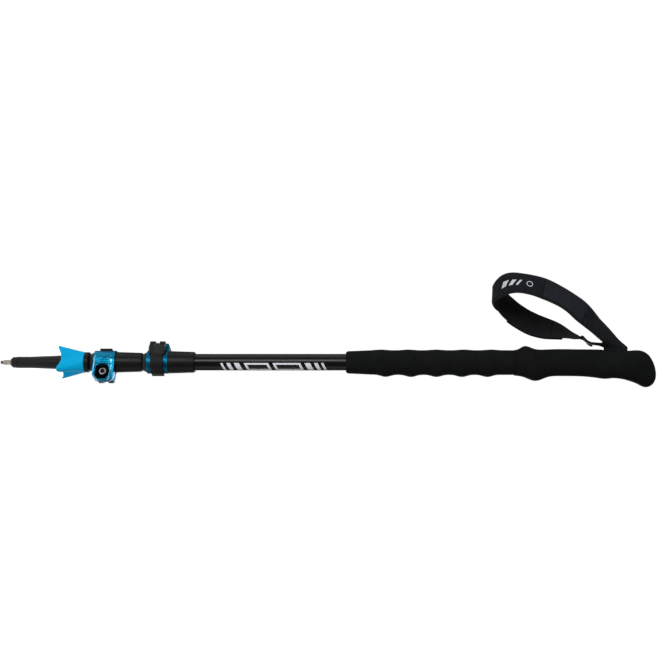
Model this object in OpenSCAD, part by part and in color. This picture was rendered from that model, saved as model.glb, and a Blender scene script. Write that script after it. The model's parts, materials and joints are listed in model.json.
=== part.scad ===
// Three-section telescopic ski pole, fully collapsed.
// The origin is the end of the carbide point on the shaft's axis. +Z runs up
// the shaft to the grip and +X points to the nose of the grip's head. All
// lengths are in millimetres. Every heading below is worked from the tip up.

/* [Shaft] */
// Outer diameter of the upper tube
upper_tube_d = 18; // [15:0.5:22]
// Wall of each of the three tubes
tube_wall = 0.8; // [0.6:0.05:1]
// Radial gap between one tube and the next
tube_gap = 0.2; // [0.15:0.05:0.4]
// Bare length of the upper tube between its clamp and the foam
bare_shaft = 160.8; // [120:1:220]

/* [Tip] */
// Diameter of the carbide point
point_d = 3.8; // [3:0.1:4.6]
// Exposed length of the carbide point
point_len = 3.2; // [2.4:0.1:4]
// Diameter of the steel holder
holder_d = 5.7; // [5:0.1:6.6]
// Exposed length of the steel holder, with its flare
holder_len = 8.6; // [7:0.1:11]
// Diameter of the straight seat for a rubber tip protector
seat_d = 12.3; // [11:0.1:13]
// Length of the ferrule from its nose to the top of its flange
ferrule_len = 84.2; // [75:0.5:100]
// Outer diameter of the ferrule's flange, which stops the basket
flange_d = 21.6; // [21:0.1:25]
// Thickness of the flange
flange_h = 5.5; // [4:0.1:8]

/* [Basket] */
// Height of the basket, from its lobes to the flange
basket_h = 26.9; // [22:0.1:34]
// Diameter over the lobes
basket_d = 38; // [31:0.1:46]
// Number of lobes
lobe_count = 4; // [3:1:6]
// Wall of the basket's skirt
skirt_wall = 1.5; // [1.2:0.1:2.4]
// Depth of the hollows between the lobes
hollow_depth = 3.5; // [2.5:0.1:6]

/* [Clamps] */
// Length of a clamp's plastic sleeve
sleeve_len = 55.8; // [48:0.1:70]
// Length of a clamp's metal body along the shaft
clamp_len = 22.4; // [19:0.1:27]
// Wall of the clamp body's ring
ring_wall = 2.4; // [2.1:0.1:3]
// Gap that the clamp body closes
split_gap = 2.5; // [2:0.1:3]
// Diameter of the adjusting bolt
bolt_d = 4; // [3.4:0.1:4.8]
// Diameter of the bolt's head
head_d = 7.8; // [7:0.1:8.8]
// Width of the lever's strap
lever_w = 12.8; // [10.8:0.1:14]
// Width over the lever's fork
fork_w = 15.7; // [15.5:0.1:18]
// Diameter of the cross barrel that the lever turns on
barrel_d = 6; // [5.6:0.1:6.6]
// How far the cam's centre lies off the barrel's axis
cam_throw = 0.6; // [0.4:0.05:0.8]
// Turn of the clamps about the shaft, towards the -Y side
clamp_turn = 25; // [0:1:40]

/* [Grip] */
// Length of the foam extension below the grip
extension_len = 179.5; // [150:0.5:220]
// Number of finger ridges on the extension
ridge_count = 5; // [3:1:6]
// Length of the grip, from its seam to the top of its head
grip_len = 151.5; // [130:0.5:180]
// Height of the slanting collar that the hand rests on
collar_h = 4.8; // [3:0.1:6]

/* [Strap] */
// Width of the webbing
strap_w = 25; // [20:0.5:26]
// Thickness of the webbing with its lining
strap_t = 2; // [1.6:0.1:2.4]

/* [Hidden] */
$fn = 96;
cut = 1;                            // how far a cutting solid runs past a face
slip = 0.05;                        // radial clearance of a running or sliding fit
seat_gap = 0.4;                     // axial gap between stacked sections

// Radii of the tubes, each one sliding in the one above it
upper_r = upper_tube_d / 2;
upper_bore = upper_r - tube_wall;
middle_r = upper_bore - tube_gap;
middle_bore = middle_r - tube_wall;
lower_r = middle_bore - tube_gap;
lower_bore = lower_r - tube_wall;

// Places along the shaft
nose_z = point_len + holder_len;
flange_top = nose_z + ferrule_len;
flange_z = flange_top - flange_h;
rim_z = flange_z - basket_h;
lower_clamp_z = flange_top + seat_gap;
upper_clamp_z = lower_clamp_z + sleeve_len + seat_gap / 2;
foam_z = upper_clamp_z + sleeve_len + bare_shaft;
seam_z = foam_z + extension_len;
head_z = seam_z + grip_len;

// Ferrule
seat_z = nose_z + 7.7;              // start of the tip protector's seat
seat_len = 12;
thread_r = lower_r + 1.4;           // the basket's seat
thread_len = 15;
socket_depth = 27;
spigot_r = 2;
spigot_len = 22;

// Clamps: local z starts at the foot of the sleeve
tube_stop = 29;                     // where the bigger tube ends in its sleeve
collar_len = 4.9;                   // the sleeve's cone below the clamp body
band_r = upper_r + 1;               // the sleeve's radius inside the clamp body
ring_r = band_r + ring_wall;
channel_r = ring_r - 1;             // floor of the lever's channel
mid_z = collar_len + clamp_len / 2;
bolt_x = band_r + 4.4;
lug_x = bolt_x + 9.1;
front_y = -band_r - 1.2;            // the face that the bolt's head sits in
pocket_y = front_y + 1.8;
head_seat_y = front_y + 3.6;
head_h = 3.4;
head_space_d = head_d + 5.4;
lug_y = 3.8;                        // outer face of the back lug
pad_t = 0.8;
pad_w = fork_w - 0.6;
cam_r = barrel_d / 2 + 2.28;
barrel_y = lug_y + pad_t + cam_r + cam_throw + 0.02;
fork_gap = bolt_d + 0.8;            // notch between the fork's prongs
hole_r = bolt_d / 2 + 0.25;
lever_in = channel_r + 0.25;
lever_out = lever_in + 2.2;
lever_end = 204;                    // angle at which the lever's strap ends
tab_h = 0.9;                        // raised thumb edge at the lever's end
lug_round = 8;                      // length of the lug's rounded end

// Grip and strap
tube_top = head_z - 60;
core_top = head_z - 17.5;
core_spigot = 14;
core_bore_z = tube_top - core_spigot;
guide_head = 10;
guide_spigot = 8;
middle_top = core_bore_z - 6 - guide_head;
lower_top = middle_top - guide_spigot - 4 - guide_head;
slot_z = head_z - 56;               // lower end of the strap's slot
slot_len = 27;
slot_half = strap_t + 1;
slot_mid = slot_z + slot_len / 2;
pin_r = 1.6;
pin_x = -1.5;
mouth_x = -upper_r - 4.5;           // mouth of the slot, level with the grip's back
loop_x = mouth_x - 2.7;             // where the loop starts, clear of the mouth as it swings

// Basket
neck_r = flange_d / 2 + 0.1;
rim_r = basket_d / 2;
hub_len = thread_len - 0.5;
hub_wall = 1.6;
first_lobe = -69;                   // direction of one lobe, in degrees from +X

// ---------- helpers ----------

// Points along an arc of radius r about c, from angle a0 to a1
function arc(r, a0, a1, steps, c = [0, 0]) =
    [for (i = [0:steps]) c + r * [cos(a0 + (a1 - a0) * i / steps), sin(a0 + (a1 - a0) * i / steps)]];

// Catmull-Rom curve through a list of rows, at the real index u
function between(rows, u) =
    let (last = len(rows) - 1,
         i = min(floor(u), last - 1),
         t = u - i,
         p0 = rows[max(i - 1, 0)], p1 = rows[i], p2 = rows[i + 1], p3 = rows[min(i + 2, last)])
    0.5 * (2 * p1 + (p2 - p0) * t + (2 * p0 - 5 * p1 + 4 * p2 - p3) * t * t
           + (3 * p1 - p0 - 3 * p2 + p3) * t * t * t);

function unit(v) = v / norm(v);

// One closed solid through rings of equally many points, wound the same way
module skin(rings) {
    n = len(rings[0]);
    last = (len(rings) - 1) * n;
    walls = [for (i = [0:n:last - n]) for (j = [0:n - 1])
        let (k = (j + 1) % n)
        each [[i + j, i + n + j, i + n + k], [i + j, i + n + k, i + k]]];
    ends = [[for (j = [0:n - 1]) j], [for (j = [n - 1:-1:0]) last + j]];
    polyhedron([for (ring = rings) each ring], concat(walls, ends), convexity = 6);
}

module tube(r, bore, z0, z1) {
    translate([0, 0, z0])
        difference() {
            cylinder(r = r, h = z1 - z0);
            translate([0, 0, -cut]) cylinder(r = bore, h = z1 - z0 + 2 * cut);
        }
}

// ---------- tip ----------

module tip_point() {
    color("dimgray")
        rotate_extrude()
            polygon([[0, 0.5], [point_d / 2 - 0.6, 0], [point_d / 2, 0.5], [point_d / 2, point_len],
                     [0, point_len]]);
}

module tip_holder() {
    color("silver")
        rotate_extrude()
            polygon([[0, point_len], [holder_d / 2 - 0.3, point_len], [holder_d / 2, point_len + 0.3],
                     [holder_d / 2, nose_z - 2], [holder_d / 2 + 1.5, nose_z],
                     [spigot_r, nose_z], [spigot_r, nose_z + spigot_len], [0, nose_z + spigot_len]]);
}

module ferrule() {
    seat_r = seat_d / 2;
    neck_z = flange_z - thread_len;
    color("#1d1d1f")
        rotate_extrude()
            polygon([
                [spigot_r, nose_z], [holder_d / 2 + 1.5, nose_z], [seat_r - 0.35, nose_z + 1.6],
                [seat_r - 0.35, seat_z - 2.4], [seat_r, seat_z - 2.1], [seat_r, seat_z - 0.8],
                [seat_r - 0.25, seat_z - 0.6], [seat_r - 0.25, seat_z - 0.2], [seat_r, seat_z],
                [seat_r, seat_z + seat_len], [lower_r + 0.05, neck_z - 20], [lower_r + 0.8, neck_z - 7],
                [lower_r + 0.8, neck_z - 1], [thread_r, neck_z], [thread_r, flange_z],
                [flange_d / 2, flange_z], [flange_d / 2, flange_top - 1.4],
                [flange_d / 2 - 1.4, flange_top], [lower_r, flange_top],
                [lower_r, flange_top - socket_depth], [spigot_r, flange_top - socket_depth],
                [spigot_r, nose_z + spigot_len], [spigot_r, nose_z]
            ]);
}

// How far the skirt stands out at angle a: 1 on the middle of a lobe, 0 in a fold
function lobe_share(a) = 0.5 + 0.5 * cos(lobe_count * (a - first_lobe));

// One ring of the skirt, share of the way from the neck to its edge. The folds
// stay at the radius of fold, and the lobes flare out from it as they go down.
function skirt_ring(share, top, fold, sides) =
    [for (j = [0:sides - 1])
        let (a = 360 * j / sides,
             edge_z = rim_z + hollow_depth * (1 - pow(lobe_share(a), 3)),
             z = top + share * (edge_z - top),
             r = fold + (rim_r - neck_r) * lobe_share(a) * (top - z) / (top - rim_z))
        [r * cos(a), r * sin(a), z]];

module basket() {
    sides = 72;
    hub_r = thread_r + slip + hub_wall;
    hub_z = flange_z - hub_len;
    pocket_z = hub_z + 8;
    closing = [for (j = [0:sides - 1]) [5 * cos(360 * j / sides), 5 * sin(360 * j / sides), rim_z + 2]];
    color("#00a6dc")
        difference() {
            skin(concat([closing], [for (k = [10:-1:0]) skirt_ring(k / 10, flange_z, neck_r, sides)]));
            difference() {
                skin([for (k = [13:-1:0]) skirt_ring(k / 10, pocket_z, neck_r - skirt_wall, sides)]);
                translate([0, 0, hub_z]) cylinder(r = hub_r, h = hub_len);
            }
            translate([0, 0, rim_z - cut]) cylinder(r = thread_r + slip, h = basket_h + 2 * cut);
        }
}

// ---------- tubes ----------

module lower_tube() {
    color("#17171a") tube(lower_r, lower_bore, flange_top - socket_depth, lower_top);
}

module middle_tube() {
    color("#17171a") tube(middle_r, middle_bore, lower_clamp_z + tube_stop, middle_top);
}

module upper_tube() {
    color("#17171a") tube(upper_r, upper_bore, upper_clamp_z + tube_stop, tube_top);
}

// Plug that closes the top of a sliding tube and guides it in the tube around it
module guide(r, bore, around, z) {
    rotate_extrude()
        polygon([[0, z - guide_spigot], [bore, z - guide_spigot], [bore, z],
                 [around - slip, z], [around - slip, z + guide_head - 1],
                 [around - slip - 1, z + guide_head], [0, z + guide_head]]);
}

module lower_guide() {
    color("gray") guide(lower_r, lower_bore, middle_bore, lower_top);
}

module middle_guide() {
    color("gray") guide(middle_r, middle_bore, upper_bore, middle_top);
}

// ---------- clamps, drawn with the split towards +X and the bolt along Y ----------

// Puts a clamp's parts on the shaft: side 0 is the lower clamp and 1 the upper
module on_shaft(side) {
    translate([0, 0, side == 0 ? lower_clamp_z : upper_clamp_z])
        rotate([0, 0, side * 180 - clamp_turn]) children();
}

// Sleeve bonded on the end of the bigger tube, slit where the clamp body grips it
module clamp_sleeve(big_r, small_r) {
    slit_w = 1.6;
    foot_r = band_r - 0.9;
    body_end = collar_len + clamp_len;
    color("#1d1d1f")
        difference() {
            rotate_extrude()
                polygon([
                    [small_r + slip, 0], [foot_r - 0.4, 0], [foot_r, 0.5], [band_r + 1, collar_len - 0.6],
                    [band_r + 1, collar_len], [band_r, collar_len], [band_r, body_end],
                    [big_r + 3, body_end], [big_r + 3, body_end + 2],
                    [big_r + 2.2, sleeve_len - 2.4], [big_r + 1.9, sleeve_len - 1],
                    [big_r + 1, sleeve_len], [big_r, sleeve_len], [big_r, tube_stop],
                    [small_r + slip, tube_stop]
                ]);
            translate([0, -slit_w / 2, -cut]) cube([band_r + 2 * cut, slit_w, body_end - 1 + cut]);
        }
}

// Outline of the body and its lugs seen along the bolt, as points [x, z]
function lug_outline() =
    let (half = clamp_len / 2, power = 2 / 2.6)
    concat([[-ring_r - cut, -half]],
           [for (a = [-90:9:90]) [lug_x - lug_round + lug_round * pow(cos(a), power),
                                  half * sign(sin(a)) * pow(abs(sin(a)), power)]],
           [[-ring_r - cut, half]]);

// A wedge of the xy plane between two angles, as tall as h about z = 0
module sector(a0, a1, h) {
    reach = 3 * ring_r;
    linear_extrude(height = h, center = true)
        polygon(concat([[0, 0]], arc(reach, a0, a1, 8)));
}

// What is cut from the ring's outside between two angles, leaving the channel's floor
module channel(a0, a1, width) {
    difference() {
        sector(a0, a1, width);
        cylinder(r = channel_r, h = width + 2 * cut, center = true);
    }
}

module clamp_body() {
    rim = 1.9;
    color("#1f88b8")
        translate([0, 0, mid_z])
            difference() {
                intersection() {
                    union() {
                        cylinder(r = ring_r, h = clamp_len, center = true);
                        linear_extrude(height = clamp_len, center = true)
                            polygon([[0, front_y + 0.6], [5, front_y], [bolt_x + 5, front_y],
                                     [lug_x - 1, -6.4], [lug_x, -3], [lug_x, -split_gap / 2],
                                     [0, -split_gap / 2]]);
                        linear_extrude(height = clamp_len, center = true)
                            polygon([[0, split_gap / 2], [bolt_x + 6, split_gap / 2],
                                     [bolt_x + 6, lug_y], [0, lug_y]]);
                    }
                    rotate([90, 0, 0])
                        linear_extrude(height = 4 * ring_r, center = true) polygon(lug_outline());
                }
                cylinder(r = band_r, h = clamp_len + 2 * cut, center = true);
                translate([0, -split_gap / 2, -clamp_len])
                    cube([3 * ring_r, split_gap, 2 * clamp_len]);
                // pocket with a raised rim round the bolt's head
                intersection() {
                    translate([5.6, front_y - cut, -clamp_len / 2 + rim])
                        cube([bolt_x + 1, 1.8 + cut, clamp_len - 2 * rim]);
                    translate([lug_x - 16 - rim, 0, 0]) rotate([90, 0, 0])
                        cylinder(r = 16, h = 4 * ring_r, center = true);
                }
                translate([bolt_x, head_seat_y, 0]) rotate([90, 0, 0])
                    cylinder(d = head_space_d, h = head_h + 4);
                translate([bolt_x, 0, 0]) rotate([90, 0, 0])
                    cylinder(r = hole_r, h = 4 * ring_r, center = true);
                channel(50, lever_end + 6, lever_w + 0.6);
                channel(0, 74, fork_w + 0.6);
            }
}

// Wear plate between the back lug and the cam
module clamp_pad() {
    color("#3a3a3c")
        translate([bolt_x, lug_y, mid_z])
            difference() {
                translate([-3.4, 0, -pad_w / 2]) cube([9, pad_t, pad_w]);
                rotate([90, 0, 0]) cylinder(r = hole_r, h = 4 * pad_t, center = true);
            }
}

// Cross barrel: the lever turns on it and the bolt is threaded through it
module clamp_barrel() {
    color("silver")
        translate([bolt_x, barrel_y, mid_z])
            difference() {
                cylinder(d = barrel_d, h = fork_w - 0.4, center = true);
                rotate([90, 0, 0])
                    cylinder(d = bolt_d + 2 * slip, h = 2 * barrel_d, center = true);
            }
}

module clamp_bolt() {
    tail = barrel_d / 2 + 0.5;
    key = 4.2;                      // across the flats of the hexagon socket
    color("silver")
        translate([bolt_x, 0, mid_z]) rotate([-90, 0, 0])
            difference() {
                union() {
                    translate([0, 0, head_seat_y]) cylinder(d = bolt_d, h = barrel_y + tail - head_seat_y);
                    translate([0, 0, head_seat_y - head_h])
                        rotate_extrude()
                            polygon([[0, 0], [head_d / 2 - 0.5, 0], [head_d / 2, 0.5],
                                     [head_d / 2, head_h], [0, head_h]]);
                }
                translate([0, 0, head_seat_y - head_h - cut])
                    cylinder(d = key / cos(30), h = 2.4 + cut, $fn = 6);
            }
}

// Cam lever: a fork on the barrel, an eccentric, and a strap that wraps the ring
module clamp_lever() {
    pivot = [bolt_x, barrel_y];
    root = 62;                      // angle at which the strap leaves the ring
    color("#1d1d1f")
        translate([0, 0, mid_z])
            difference() {
                union() {
                    // strap, from its root round to the thumb tab
                    linear_extrude(height = lever_w, center = true)
                        polygon(concat(arc(lever_in, root, lever_end, 30),
                                       arc(lever_out + tab_h, lever_end, lever_end - 4, 2),
                                       arc(lever_out, lever_end - 12, root, 28)));
                    // arm from the strap to the cam
                    linear_extrude(height = fork_w, center = true)
                        polygon(concat([lever_in * [cos(root + 4), sin(root + 4)],
                                        lever_out * [cos(root + 10), sin(root + 10)]],
                                       arc(cam_r, 96, 30, 8, pivot - [0, cam_throw]),
                                       [pivot, pivot - [cam_r - 1.2, 0]]));
                    translate([pivot[0], pivot[1] - cam_throw, 0])
                        cylinder(r = cam_r, h = fork_w, center = true);
                }
                translate([pivot[0], pivot[1], 0])
                    cylinder(d = barrel_d + 2 * slip, h = fork_w + 2 * cut, center = true);
                // room for the bolt's shank and tail as the lever swings
                linear_extrude(height = fork_gap, center = true)
                    polygon(concat([pivot + [-hole_r - 0.2, -2 * cam_r], pivot + [2 * cam_r, -2 * cam_r],
                                    pivot + [2 * cam_r, 2 * cam_r], pivot + [0, 2 * cam_r]],
                                   arc(barrel_d / 2 + 1.3, 90, 210, 10, pivot)));
            }
}

module lower_clamp_sleeve() {
    on_shaft(0) clamp_sleeve(middle_r, lower_r);
}

module upper_clamp_sleeve() {
    on_shaft(1) clamp_sleeve(upper_r, middle_r);
}

// ---------- foam ----------

// Radius of the ridged extension at height h and angle a. The ridges sit closer
// together on the side of the fingers, and the first and last stretches are plain.
function extension_r(h, a) =
    let (pitch = (extension_len - 37.5) / ridge_count - 1.2 * cos(a),
         turns = (h - 39.8 - 2.6 * cos(a)) / pitch,
         ridged = turns > -0.5 && turns < ridge_count - 0.5,
         wave = ridged ? pow(0.5 + 0.5 * cos(360 * turns), 1.45) : 0,
         finger = 0.5 + 0.5 * cos(a))
    upper_r + 2.9 + 1.1 * min(1, h / 28) - 1.8 * pow(max(0, 1 - h / 2.4), 2)
    + wave * (0.7 + 1.5 * finger) + 0.5 * finger * min(1, h / 60);

module grip_extension() {
    sides = 32;
    heights = concat([0, 0.4, 1, 1.8], [for (h = [4:3.2:extension_len - 1]) h], [extension_len]);
    color("#171717")
        difference() {
            skin([for (h = heights)
                [for (j = [0:sides - 1]) let (a = 360 * j / sides, r = extension_r(h, a))
                    [r * cos(a), r * sin(a), foam_z + h]]]);
            translate([0, 0, foam_z - cut]) cylinder(r = upper_r, h = extension_len + 2 * cut);
        }
}

// Sections of the grip: height over the seam, and how far the foam stands out
// from the tube's radius at the back, at the nose and at each side
grip_sections = [
    [0, 4.2, 5.2, 4.2], [22, 4.3, 5.6, 4.1], [46, 5.2, 5.7, 4], [70, 5, 6, 4.2],
    [85, 4.9, 7.2, 4.8], [97, 4.6, 8.7, 5.3], [107, 4.3, 8, 5.3], [116, 3.9, 9, 5.5],
    [124, 3.6, 11.1, 5.9], [131, 4, 13.6, 6.2], [136, 3.6, 16.2, 6.1], [140, 2, 17.6, 5.4],
    [144, -1.2, 17.1, 3.9], [148, -7.6, 14.6, 0.4], [150.6, -15, 10.4, -4.2],
    [151.5, -19.4, 6.6, -7.4]
];

// The collar rises quickly on its lower side at the back, and evenly at the nose
function collar(h, a) =
    let (middle = 17.5 + 5.4 * cos(a),
         spread = h < middle ? 8.4 + 2.6 * cos(a) : 10 + cos(a))
    (collar_h + 0.5 * cos(a)) * exp(-pow((h - middle) / spread, 2));

function grip_ring(u, sides) =
    let (row = between(grip_sections, u), h = row[0], stretch = grip_len / grip_sections[15][0])
    [for (j = [0:sides - 1])
        let (a = 360 * j / sides,
             middle = (row[2] - row[1]) / 2,
             swell = upper_r + (h < 60 ? collar(h, a) : 0),
             rx = (row[2] + row[1]) / 2 + swell,
             ry = row[3] + swell)
        [middle + rx * cos(a), ry * sin(a), seam_z + h * stretch]];

module grip() {
    sides = 36;
    step = 0.2;
    color("#171717")
        difference() {
            skin([for (u = [0:step:len(grip_sections) - 1]) grip_ring(u, sides)]);
            translate([0, 0, seam_z - cut]) cylinder(r = upper_r, h = core_top - seam_z + cut);
            translate([-3 * upper_r, -slot_half, slot_z])
                cube([3 * upper_r, 2 * slot_half, slot_len]);
        }
}

// Plastic plug in the top of the upper tube, which holds the strap
module grip_core() {
    color("#2a2a2c")
        difference() {
            union() {
                translate([0, 0, core_bore_z]) cylinder(r = upper_bore, h = core_top - core_bore_z);
                translate([0, 0, tube_top]) cylinder(r = upper_r, h = core_top - tube_top);
            }
            translate([-2 * upper_r, -slot_half, slot_z]) cube([2 * upper_r + 2, 2 * slot_half, slot_len]);
            translate([pin_x, 0, slot_z - 3]) cylinder(r = pin_r, h = slot_len + 6);
        }
}

// ---------- strap ----------

module strap_pin() {
    color("silver") translate([pin_x, 0, slot_z - 3]) cylinder(r = pin_r, h = slot_len + 6);
}

// Wedge that jams the webbing in its slot
module strap_wedge() {
    color("#2a2a2c")
        translate([0, 0, slot_z + 1])
            linear_extrude(height = slot_len - 2)
                polygon([[-upper_r - 2, strap_t], [-4, strap_t], [-4, strap_t + 0.3],
                         [-upper_r - 2, slot_half]]);
}

// The two ends of the webbing, folded round the pin inside the grip
module strap_ends() {
    color("#15151a")
        difference() {
            translate([mouth_x, -strap_t, slot_z + 1])
                cube([pin_x + 2.6 - mouth_x, 2 * strap_t, slot_len - 2]);
            translate([pin_x, 0, slot_z]) cylinder(r = pin_r, h = slot_len);
        }
}

// Route of the loop's middle line, out of the slot and back, from the slot's
// middle, and the direction of the webbing's width
strap_route = [
    [0, -1.3, 0.6], [-5.7, -3.1, -5.7], [-13, -5.2, -12.1], [-21.1, -10, -21.8], [-30.1, -14, -31.9],
    [-38.5, -18, -42.3], [-46.5, -21, -53], [-53.9, -23, -65.3], [-61, -25, -81], [-65.1, -25.5, -94],
    [-67.5, -24.5, -107.4], [-67.4, -20.5, -117.1], [-64.8, -14.5, -123.3], [-60.3, -7, -128.7],
    [-56.6, 0, -130.7], [-54, 7, -128], [-51.7, 12.5, -123.4], [-48.9, 17, -118], [-43.1, 20, -111.5],
    [-36.9, 22.5, -103.9], [-30.4, 24, -93.8], [-25.1, 25, -83.3], [-21.5, 25, -72.1],
    [-18.9, 24, -60.9], [-15.5, 21.5, -50.3], [-11.8, 18.5, -40.6], [-8.5, 14, -30.6],
    [-3.9, 7.8, -24.1], [-4, 10.2, -14.5], [-1.5, 3.4, -5], [0, 1.3, -0.6]
];
strap_across = [
    [0, 0, 1], [0.03, 0.45, 0.89], [-0.19, 0.68, 0.71], [-0.33, 0.68, 0.66], [-0.51, 0.55, 0.66],
    [-0.66, 0.42, 0.63], [-0.68, 0.49, 0.55], [-0.75, 0.49, 0.44], [-0.86, 0.42, 0.31],
    [-0.86, 0.48, 0.19], [-0.86, 0.52, 0.02], [-0.86, 0.51, -0.1], [-0.81, 0.56, -0.15],
    [-0.74, 0.67, -0.03], [-0.74, 0.65, 0.13], [-0.82, 0.52, 0.22], [-0.85, 0.41, 0.34],
    [-0.83, 0.37, 0.41], [-0.89, 0.25, 0.39], [-0.9, 0.22, 0.37], [-0.94, 0.2, 0.29],
    [-0.96, 0.2, 0.22], [-0.91, 0.38, 0.15], [-0.78, 0.63, 0.02], [-0.56, 0.83, -0.04],
    [-0.31, 0.95, -0.04], [-0.04, 1, 0], [0.03, 1, 0.07], [-0.05, 0.75, -0.66], [-0.1, 0.25, -0.96],
    [0, 0, -1]
];

// One cross section of the webbing. Towards both ends it is gathered, and turns
// from square across the route to upright in the slot's mouth.
function strap_ring(u) =
    let (last = len(strap_route) - 1,
         p = [loop_x, 0, slot_mid] + between(strap_route, u),
         along = unit(between(strap_route, min(u + 0.05, last)) - between(strap_route, max(u - 0.05, 0))),
         free = min(1, u / 3, (last - u) / 3),
         rough = between(strap_across, u),
         across = unit(rough - free * (rough * along) * along),
         out = unit(cross(along, across)),
         w = strap_w * (0.95 + 0.05 * free) / 2,
         t = strap_t / 2)
    [p + w * across + t * out, p - w * across + t * out, p - w * across - t * out, p + w * across - t * out];

module strap_loop() {
    step = 0.25;
    color("#15151a") skin([for (u = [0:step:len(strap_route) - 1]) strap_ring(u)]);
}

tip_point();
tip_holder();
ferrule();
basket();
lower_tube();
lower_guide();
lower_clamp_sleeve();
on_shaft(0) clamp_body();  // lower_clamp_body
on_shaft(0) clamp_pad();  // lower_clamp_pad
on_shaft(0) clamp_barrel();  // lower_clamp_barrel
on_shaft(0) clamp_bolt();  // lower_clamp_bolt
on_shaft(0) clamp_lever();  // lower_clamp_lever
middle_tube();
middle_guide();
upper_clamp_sleeve();
on_shaft(1) clamp_body();  // upper_clamp_body
on_shaft(1) clamp_pad();  // upper_clamp_pad
on_shaft(1) clamp_barrel();  // upper_clamp_barrel
on_shaft(1) clamp_bolt();  // upper_clamp_bolt
on_shaft(1) clamp_lever();  // upper_clamp_lever
upper_tube();
grip_extension();
grip();
grip_core();
strap_pin();
strap_wedge();
strap_ends();
strap_loop();
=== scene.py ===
"""Looks of a collapsed telescopic ski pole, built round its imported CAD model.

Shapes are worked out in millimetres in the pole's own frame: the carbide point is
at the origin, +Z runs up the shaft and +X is the side of the grip's nose.
"""
import json
import math
from collections import namedtuple

import bmesh
import bpy
import numpy as np
from mathutils import Matrix, Vector


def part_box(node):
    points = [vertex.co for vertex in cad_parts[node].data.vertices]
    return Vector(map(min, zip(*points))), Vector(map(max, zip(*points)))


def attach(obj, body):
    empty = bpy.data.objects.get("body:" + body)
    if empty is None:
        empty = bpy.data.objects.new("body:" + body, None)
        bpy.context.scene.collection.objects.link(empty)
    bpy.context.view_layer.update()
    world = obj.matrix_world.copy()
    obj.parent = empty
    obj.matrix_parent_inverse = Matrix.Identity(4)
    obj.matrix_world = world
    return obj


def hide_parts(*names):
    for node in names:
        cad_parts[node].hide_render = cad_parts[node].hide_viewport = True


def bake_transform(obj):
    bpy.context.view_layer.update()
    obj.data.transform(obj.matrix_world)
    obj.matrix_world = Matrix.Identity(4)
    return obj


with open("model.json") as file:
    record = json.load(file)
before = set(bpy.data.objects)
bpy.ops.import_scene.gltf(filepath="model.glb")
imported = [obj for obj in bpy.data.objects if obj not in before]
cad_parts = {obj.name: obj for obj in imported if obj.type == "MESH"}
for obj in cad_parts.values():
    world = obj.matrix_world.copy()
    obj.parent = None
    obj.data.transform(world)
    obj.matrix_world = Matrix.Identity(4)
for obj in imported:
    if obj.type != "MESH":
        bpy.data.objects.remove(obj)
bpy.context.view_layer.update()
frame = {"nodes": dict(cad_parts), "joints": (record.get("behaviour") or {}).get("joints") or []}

MM = 0.001
TAU = 2 * math.pi


# ---------- places, read from the frame ----------

def low(node):
    """Lowest corner of a CAD node, in millimetres."""
    return np.array(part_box(node)[0]) / MM


def high(node):
    """Highest corner of a CAD node, in millimetres."""
    return np.array(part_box(node)[1]) / MM


def clamp_middle(side):
    """Height of the middle of a clamp's body, in millimetres."""
    node = f"{CLAMPS[side]}_clamp_body"
    return (low(node)[2] + high(node)[2]) / 2


def bolt_offset(side):
    """How far a clamp bolt lies from the shaft along the clamp's own X, in millimetres."""
    x, y = joint_place(f"{CLAMPS[side]}_bolt_turn")[:2]
    turn = math.radians(CLAMP_TURNS[side])
    return x * math.cos(turn) - y * math.sin(turn)


def joint_place(name):
    """Point that a joint turns about, in millimetres."""
    return np.array(next(j for j in frame["joints"] if j["name"] == name)["pos_m"]) / MM


upper_r = high("upper_tube")[1]
middle_r = high("middle_tube")[1]
lower_r = high("lower_tube")[1]
nose_z = low("ferrule")[2]
flange_top = high("ferrule")[2]
flange_r = high("ferrule")[1]
flange_h = 5.5
flange_z = flange_top - flange_h
rim_z = low("basket")[2]
foam_z = low("grip_extension")[2]
seam_z = low("grip")[2]
head_z = high("grip")[2]
# The clamps, and the turn of each about the shaft in degrees
CLAMPS = ("lower", "upper")
CLAMP_TURNS = (25, 205)
strap_start = joint_place("strap_swing")


# ---------- camera ----------

def add_camera():
    """Camera square to the pole's side, with the pole lying across its view and the grip to the right."""
    data = bpy.data.cameras.new("camera")
    data.sensor_width = 36
    data.lens = 50.98
    camera = bpy.data.objects.new("camera", data)
    bpy.context.scene.collection.objects.link(camera)
    right, up, back = (0, 0, 1), (-1, 0, 0), (0, -1, 0)
    turn = Matrix((right, up, back)).transposed().to_4x4()
    camera.matrix_world = Matrix.Translation((-0.0346, -1.0, 0.352)) @ turn
    bpy.context.scene.camera = camera


add_camera()


# ---------- mesh helpers ----------

def facing_out(verts, quads):
    """The quads of a closed surface, turned over if the volume that they enclose comes out negative."""
    a, b, c, d = (verts[quads[:, i]] for i in range(4))
    volume = np.einsum("ij,ij->", a, np.cross(b, c)) + np.einsum("ij,ij->", a, np.cross(c, d))
    return quads if volume > 0 else quads[:, ::-1]


def grid_quads(rows, columns, close_rows):
    """Quads that join each point of a grid to its neighbours; columns always close on themselves."""
    i = np.arange(rows if close_rows else rows - 1)
    j = np.arange(columns)
    a, b = (g.ravel() for g in np.meshgrid(i, j, indexing="ij"))
    up, side = (a + 1) % rows, (b + 1) % columns
    return np.stack([a * columns + b, a * columns + side, up * columns + side, up * columns + b], -1)


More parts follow.
